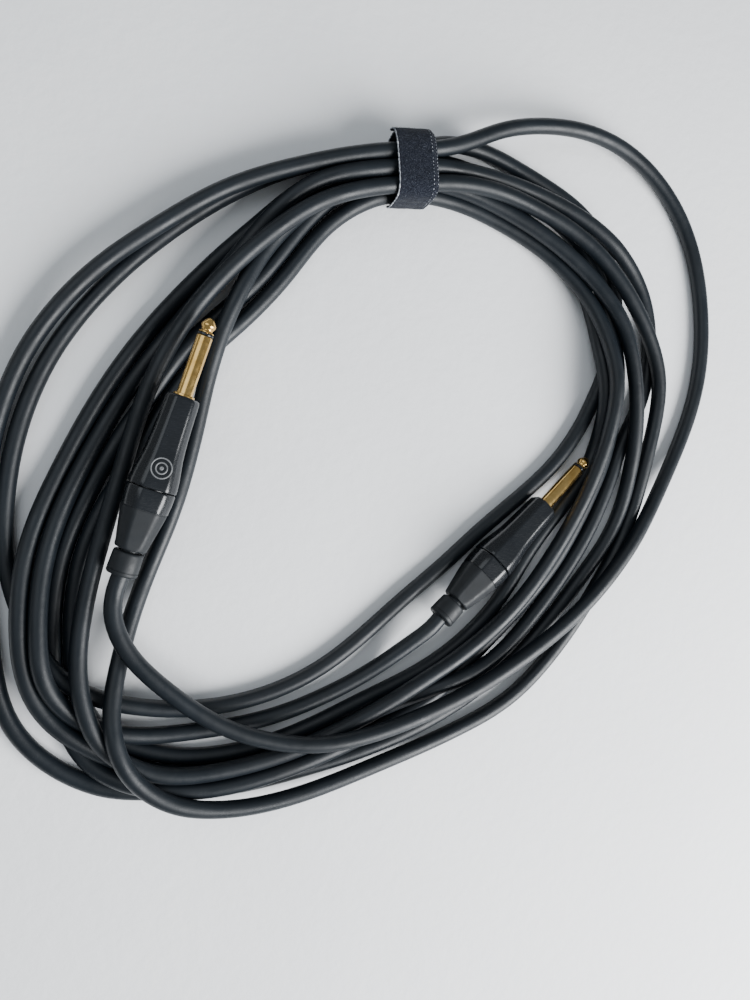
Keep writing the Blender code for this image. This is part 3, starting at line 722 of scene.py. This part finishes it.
def shell_rings():
    """The shell: blunt faceted nose, a slow taper and a flare to the joint."""
    flats = SHELL_FLATS
    nose = [(-0.95, 4.9), (-0.9, 5.2), (-0.9, 5.9, flats), (-1.0, 6.2, flats), (-1.3, 6.55, flats),
            (-1.75, 6.8, flats), (-2.4, 6.95, flats)]
    taper = [(-9.0, 7.18, flats), (-16.0, 7.5, flats), (-21.0, 7.85, flats), (-24.5, 8.25, flats),
             (-27.5, 8.75, flats), (-30.0, 9.2, flats), (-32.5, 9.62, flats), (-34.5, 9.88, flats),
             (-36.3, 10.05, flats), (-37.45, 10.1, flats)]
    back = [(-37.75, 10.02, flats), (-37.95, 9.8, flats), (-38.0, 9.5, flats), (-38.0, 7.5)]
    bore = [(-30.4, 7.5), (-30.4, 5.6), (-13.1, 5.6), (-13.1, 4.9), (-2.2, 4.9), (-2.2, 4.5),
            (-1.3, 4.5)]
    return nose + taper + back + bore


def boot_rings():
    """The boot: a threaded nose, a faceted band, a step, a taper and a rolled neck."""
    flats = BOOT_FLATS
    nose = [(-31.0, 6.4), (-31.3, 6.85), (-38.35, 6.85)]
    band = [(-38.4, 9.4, flats), (-38.45, 9.75, flats), (-38.7, 9.95, flats), (-39.1, 10.02, flats),
            (-42.5, 9.95, flats), (-46.2, 9.62, flats), (-46.5, 9.5, flats), (BAND_END, 9.3, flats)]
    taper = [(-46.85, 9.3, flats), (-46.95, 9.42, flats), (-47.3, 9.45, flats), (-50.0, 9.0, flats),
             (-54.0, 8.22, flats), (-58.0, 7.4, flats), (-61.0, 6.75, flats), (-62.2, 6.5, NECK_FLATS[0]),
             (-62.7, 6.3, NECK_FLATS[1]), (-63.0, 5.9)]
    bore = [(-63.0, 4.3), (-62.7, 3.95), (-52.0, 3.95), (-49.0, 6.0), (-31.0, 6.0)]
    return nose + band + taper + bore


def collar_rings():
    """The collar: a plain cylinder with a rounded front, a fine groove and a raised lip."""
    return [(-64.0, 4.2), (-64.0, 5.0), (-64.15, 5.45), (-64.5, 5.75), (-65.0, 5.9), (-68.0, 6.02),
            (-71.4, 6.1), (-71.55, 5.92), (-71.75, 5.92), (-71.9, 6.12), (-72.6, 6.14), (-73.1, 6.0),
            (-73.4, 5.7), (-73.5, 5.3), (-73.5, 4.2), (-73.2, 3.9), (-64.3, 3.9)]


def sleeve_rings():
    """Gold sleeve with a chamfered front edge and a flange that sits in the shell's nose."""
    return [(23.9, 2.75), (23.9, 2.95), (23.75, 3.1), (23.5, 3.175), (0.35, 3.175), (0.1, 3.25), (0.0, 3.45),
            (0.0, 3.95), (-0.1, 4.12), (-0.35, 4.2), (-2.5, 4.2), (-2.5, 4.6), (-13.0, 4.6), (-13.0, 2.2),
            (23.9, 2.2)]


def insulator_rings():
    """Black ring behind the tip, proud of a thin groove."""
    return [(24.95, 3.0), (24.9, 3.1), (24.5, 3.13), (24.15, 3.08), (24.1, 2.9), (24.1, 1.9), (-12.5, 1.9),
            (-12.5, 1.3), (24.95, 1.3)]


def add_emblem(key, material, side):
    """Three plain concentric rings printed on one of the shell's wide flats."""
    vertices = []
    faces = []
    sides = 56
    for inner, outer in EMBLEM_RINGS:
        start = len(vertices)
        for radius in (inner, outer):
            for i in range(sides):
                angle = 2 * math.pi * i / sides
                x = EMBLEM_AT + radius * math.cos(angle)
                height = SHELL_FLATS[0] * shell_radius(x) + EMBLEM_LIFT
                vertices.append(Vector((x, radius * math.sin(angle), height)) * MM)
        faces.extend(bridge(range(start, start + sides), range(start + sides, start + 2 * sides)))
    to_world = plug_matrix(key) @ Matrix.Rotation(side, 4, "X")
    piece = new_piece(f"plug_{key}_rings_print", [to_world @ v for v in vertices], faces, [material])
    thick = piece.modifiers.new("thickness", "SOLIDIFY")
    thick.thickness = 2 * EMBLEM_LIFT * MM
    thick.offset = 0.0
    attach(piece, ROOT)


def shell_radius(x):
    """The shell's radius at a place along it."""
    outline = sorted((entry[0], entry[1]) for entry in shell_rings() if len(entry) > 2)
    return float(np.interp(x, [entry[0] for entry in outline], [entry[1] for entry in outline]))


def add_thread(key, material):
    """The boot's thread: a helical ridge round its nose, seen when the boot backs off."""
    sides = 40
    rows = 36
    vertices = []
    for j in range(rows + 1):
        x = THREAD_FRONT - THREAD_LENGTH * j / rows
        for i in range(sides):
            angle = 2 * math.pi * i / sides
            phase = (x / THREAD_PITCH - angle / (2 * math.pi)) % 1.0
            radius = THREAD_ROOT + THREAD_DEPTH * (1 - abs(2 * phase - 1))
            vertices.append(Vector((x, radius * math.cos(angle), radius * math.sin(angle))) * MM)
    faces = []
    for start in range(0, rows * sides, sides):
        faces.extend(bridge(range(start, start + sides), range(start + sides, start + 2 * sides)))
    to_world = plug_matrix(key)
    piece = new_piece(f"plug_{key}_boot_thread", [to_world @ v for v in vertices], faces, [material],
                      60.0)
    thick = piece.modifiers.new("thickness", "SOLIDIFY")
    thick.thickness = 0.3 * MM
    thick.offset = -1.0
    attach(piece, f"boot_{key}")


def add_plug(key, looks):
    """Visible pieces of one plug, and better materials on the CAD nodes inside it."""
    plug_piece(key, "tip", pin_rings(), looks["gold"], ROOT)
    plug_piece(key, "tip_insulator", insulator_rings(), looks["shell"], ROOT)
    plug_piece(key, "sleeve", sleeve_rings(), looks["gold"], ROOT)
    plug_piece(key, "shell", shell_rings(), looks["shell"], ROOT, 96)
    boot = plug_piece(key, "boot", boot_rings(), looks["matte"], f"boot_{key}", 96,
                      [looks["shell"]])
    to_plug = plug_matrix(key).inverted()
    for face in boot.data.polygons:
        if (to_plug @ face.center).x > BAND_END * MM:
            face.material_index = 1
    plug_piece(key, "collar", collar_rings(), looks["matte"], f"boot_{key}_carriage")
    add_thread(key, looks["shell"])
    add_emblem(key, looks["emblem"], 0.0 if key == "a" else math.pi / 2)
    inside = {"ground_lug": "copper", "tip_solder_cup": "copper", "shield_braid": "copper",
              "core_conductor": "copper", "core_insulation": "insulation", "rear_insulator": "shell",
              "chuck": "matte", "jacket_end": "cable"}
    for part, look in inside.items():
        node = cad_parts[f"plug_{key}_{part}"]
        node.data.materials.clear()
        node.data.materials.append(looks[look])


# ---------------------------------------------------------------- the tie

def tie_matrix():
    """From the tie's own frame (X along the bundle, Y outwards) to the world."""
    middle = polar_point(TIE_ANGLE, TIE_RADIUS, 0) * MM
    return Matrix.Translation(middle) @ Matrix.Rotation(math.radians(TIE_HEADING), 4, "Z")


def hull(points):
    """Convex hull of points in a plane, counter-clockwise."""
    points = sorted(points)

    def half(sequence):
        chain = []
        for p in sequence:
            while len(chain) > 1 and ((chain[-1][0] - chain[-2][0]) * (p[1] - chain[-2][1])
                                      - (chain[-1][1] - chain[-2][1]) * (p[0] - chain[-2][0])) <= 0:
                chain.pop()
            chain.append(p)
        return chain[:-1]

    return half(points) + half(points[::-1])


def wrap_outline(path):
    """The loop a strap makes round the bundle, as (across, up) points from its top left corner on."""
    to_tie = tie_matrix().inverted()
    half = TIE_INSIDE[0] / 2
    edge = [(half + 1.2, TIE_INSIDE[2] - 5.0), (half - 0.5, TIE_INSIDE[2] - 1.5)]
    for place in path:
        local = to_tie @ (Vector(place) * MM) / MM
        if abs(local.x) < TIE_WIDTH / 2 and abs(local.y) < TIE_REACH:
            for i in range(24):
                angle = math.pi * i / 12
                reach = CABLE_R + LAYER_GAP
                up = max(local.z + reach * math.sin(angle), TIE_INSIDE[1])
                edge.append((local.y + reach * math.cos(angle), up))
    loop = hull(edge)
    top_left = max(range(len(loop)), key=lambda i: loop[i][1] - loop[i][0])
    loop = loop[top_left:] + loop[:top_left + 1]
    loop = spaced(np.column_stack([np.array(loop), np.zeros(len(loop))]), 0.3)
    margin = 18
    wide = np.concatenate([loop[-margin - 1:-1], loop[:-1], loop[:margin]])
    soft = blurred(wide, 6)[margin:-margin]
    soft = spaced(np.concatenate([soft, soft[:1]]), OUTLINE_STEP)[:-1, :2]
    middle = soft.mean(axis=0)
    slack = 0.25
    return soft + (soft - middle) / np.linalg.norm(soft - middle, axis=1)[:, None] * slack


def outward(loop, closed):
    """Unit vectors square to a counter-clockwise outline, pointing out of it."""
    if closed:
        run = np.roll(loop, -1, axis=0) - np.roll(loop, 1, axis=0)
    else:
        run = np.gradient(loop, axis=0)
    run /= np.linalg.norm(run, axis=1)[:, None]
    return np.column_stack([run[:, 1], -run[:, 0]])


def strap_band(name, inner, thick, low, high, closed, materials):
    """A band of webbing with rounded edges, along an outline and between two places across the tie."""
    out = outward(inner, closed)
    edge = 0.35
    section = [(low, 0.3), (low, 0.7), (low + edge, 1.0)]
    columns = 22
    section += [(low + edge + (high - low - 2 * edge) * i / columns, 1.0) for i in range(1, columns)]
    section += [(high - edge, 1.0), (high, 0.7), (high, 0.3), (high - edge, 0.0), (low + edge, 0.0)]
    to_world = tie_matrix()
    vertices = []
    for k, (place, normal) in enumerate(zip(inner, out)):
        for x, part in section:
            on_face = part == 1.0
            ripple = 0.10 * math.sin(0.9 * k + 0.35 * x) * math.sin(0.23 * k - 0.5 * x) if on_face else 0.0
            across, up = place + normal * (thick * part + ripple)
            vertices.append(to_world @ (Vector((x, across, up)) * MM))
    row = len(section)
    loops = [range(k * row, (k + 1) * row) for k in range(len(inner))]
    faces = []
    for first, second in zip(loops, loops[1:] + loops[:1] if closed else loops[1:]):
        faces.extend(bridge(first, second))
    if not closed:
        faces += [tuple(loops[0]), tuple(loops[-1])]
    return new_piece(name, vertices, faces, materials, 50.0)


def edge_thread(name, line, radius, materials):
    """A twisted thread along a line of (along, across, up) points in the tie's frame."""
    sides = 7
    to_world = tie_matrix()
    run = np.gradient(line, axis=0)
    run /= np.linalg.norm(run, axis=1)[:, None]
    vertices = []
    for k, place in enumerate(line):
        first = np.cross(run[k], (1.0, 0.0, 0.0))
        first /= np.linalg.norm(first)
        second = np.cross(run[k], first)
        for i in range(sides):
            angle = 2 * math.pi * i / sides
            swell = radius * (1 + 0.32 * math.cos(2 * angle - 1.9 * k))
            spot = place + first * swell * math.cos(angle) + second * swell * math.sin(angle)
            vertices.append(to_world @ (Vector(spot) * MM))
    loops = [range(k * sides, (k + 1) * sides) for k in range(len(line))]
    faces = [tuple(loops[0]), tuple(loops[-1])]
    for first, second in zip(loops, loops[1:]):
        faces.extend(bridge(first, second))
    return new_piece(name, vertices, faces, materials, 70.0)


def add_stitches(name, outline, normals, x, materials):
    """A row of short pale stitches along an outline, at one place across the strap."""
    to_world = tie_matrix()
    vertices = []
    faces = []
    run = np.column_stack([-normals[:, 1], normals[:, 0]])
    for k in range(1, len(outline) - 1, 2):
        start = len(vertices)
        for along in (-0.27, 0.27):
            for side, lift in ((-0.13, -0.1), (-0.09, 0.07), (0.09, 0.07), (0.13, -0.1)):
                across, up = outline[k] + run[k] * along + normals[k] * lift
                vertices.append(to_world @ (Vector((x + side, across, up)) * MM))
        first = range(start, start + 4)
        second = range(start + 4, start + 8)
        faces += bridge(first, second) + [tuple(first), tuple(second)]
    return new_piece(name, vertices, faces, materials, 40.0)


def add_nap(name, outline, normals, middle, materials):
    """Short stray fibres standing off the fabric: thin three-sided hairs."""
    hair_radius = 0.035
    pick = random.Random(5)
    to_world = tie_matrix()
    vertices = []
    faces = []
    for _ in range(NAP_FIBRES):
        k = pick.randrange(len(outline))
        x = middle + pick.uniform(-TIE_WIDTH / 2, TIE_WIDTH / 2)
        across, up = outline[k]
        base = Vector((x, across, up))
        lean = Vector((pick.uniform(-1, 1), normals[k][0] + pick.uniform(-0.8, 0.8),
                       normals[k][1] + pick.uniform(-0.8, 0.8))).normalized()
        side = lean.orthogonal().normalized() * hair_radius
        other = lean.cross(side)
        start = len(vertices)
        for corner in (side, other - side * 0.5, -other - side * 0.5):
            vertices.append(to_world @ ((base + corner) * MM))
        vertices.append(to_world @ ((base + lean * pick.uniform(0.3, 0.7)) * MM))
        faces += [(start, start + 1, start + 2)]
        faces += [(start + i, start + (i + 1) % 3, start + 3) for i in range(3)]
    return new_piece(name, vertices, faces, materials, 30.0)


def add_tie(path):
    """The strap round the bundle, the layer lapped over it, its pale woven edges and its stitching."""
    fabric = [fabric_material()]
    thread = [selvage_material()]
    half = TIE_WIDTH / 2
    loop = wrap_outline(path)
    normals = outward(loop, True)
    strap = strap_band("tie_strap_webbing", loop, STRAP_THICK, -half - LAP_SHIFT, half - LAP_SHIFT, True,
                       fabric)
    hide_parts("tie_strap")
    closed_loop = np.concatenate([loop, loop[:1]])
    closed_normals = np.concatenate([normals, normals[:1]])
    rim = closed_loop + closed_normals * STRAP_THICK * STRAP_RIM_LEVEL
    low_rim = np.column_stack([np.full(len(rim), -half - LAP_SHIFT), rim])
    strap_rim = edge_thread("tie_strap_rim_thread", low_rim, RIM_THREAD, thread)
    surface = loop + normals * (STRAP_THICK + 0.05)
    stitches_at = half - LAP_SHIFT - STRAP_STITCHES_IN
    strap_stitches = add_stitches("tie_strap_stitches", surface, normals, stitches_at, thread)
    for piece in (strap, strap_rim, strap_stitches):
        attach(piece, ROOT)
    add_lap(loop + normals * (STRAP_THICK + LAYER_GAP), fabric, thread)


def add_lap(outer, fabric, thread):
    """The layer that laps over the strap: up the inner side and on over the top past the hinge."""
    half = TIE_WIDTH / 2
    hinge = int(np.argmin(np.linalg.norm(outer - np.array(HINGE_AT), axis=1)))
    ring = np.roll(outer, -hinge, axis=0)
    lap = np.concatenate([ring[-LAP_OVER:], ring[:LAP_DOWN]])
    normals = outward(lap, False)
    layer = strap_band("tie_outer_layer", lap, LAP_THICK, -half + LAP_SHIFT, half + LAP_SHIFT, False, fabric)
    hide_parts("tie_end_tab")
    rim = lap + normals * LAP_THICK * LAP_RIM_LEVEL
    low_rim = np.column_stack([np.full(len(rim), -half + LAP_SHIFT), rim])
    surface = lap + normals * LAP_THICK
    stitches_at = half + LAP_SHIFT - LAP_STITCHES_IN
    pieces = (layer, edge_thread("tie_lap_rim_thread", low_rim, RIM_THREAD, thread),
              add_stitches("tie_lap_stitches", surface, normals, stitches_at, thread),
              add_nap("tie_lap_nap", surface - normals * 0.05, normals, LAP_SHIFT, fabric))
    for piece in pieces:
        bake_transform(piece)


def main():
    """Everything, in the order in which it depends on what came before."""
    add_camera()
    looks = {"cable": cable_material(), "shell": shell_material(), "matte": matte_material(),
             "gold": gold_material(), "emblem": emblem_material(), "copper": copper_material(),
             "insulation": insulation_material()}
    cable, path, length = add_cable()
    for key in PLUG_POSES:
        add_plug(key, looks)
    add_tie(path)
    add_surroundings()


main()
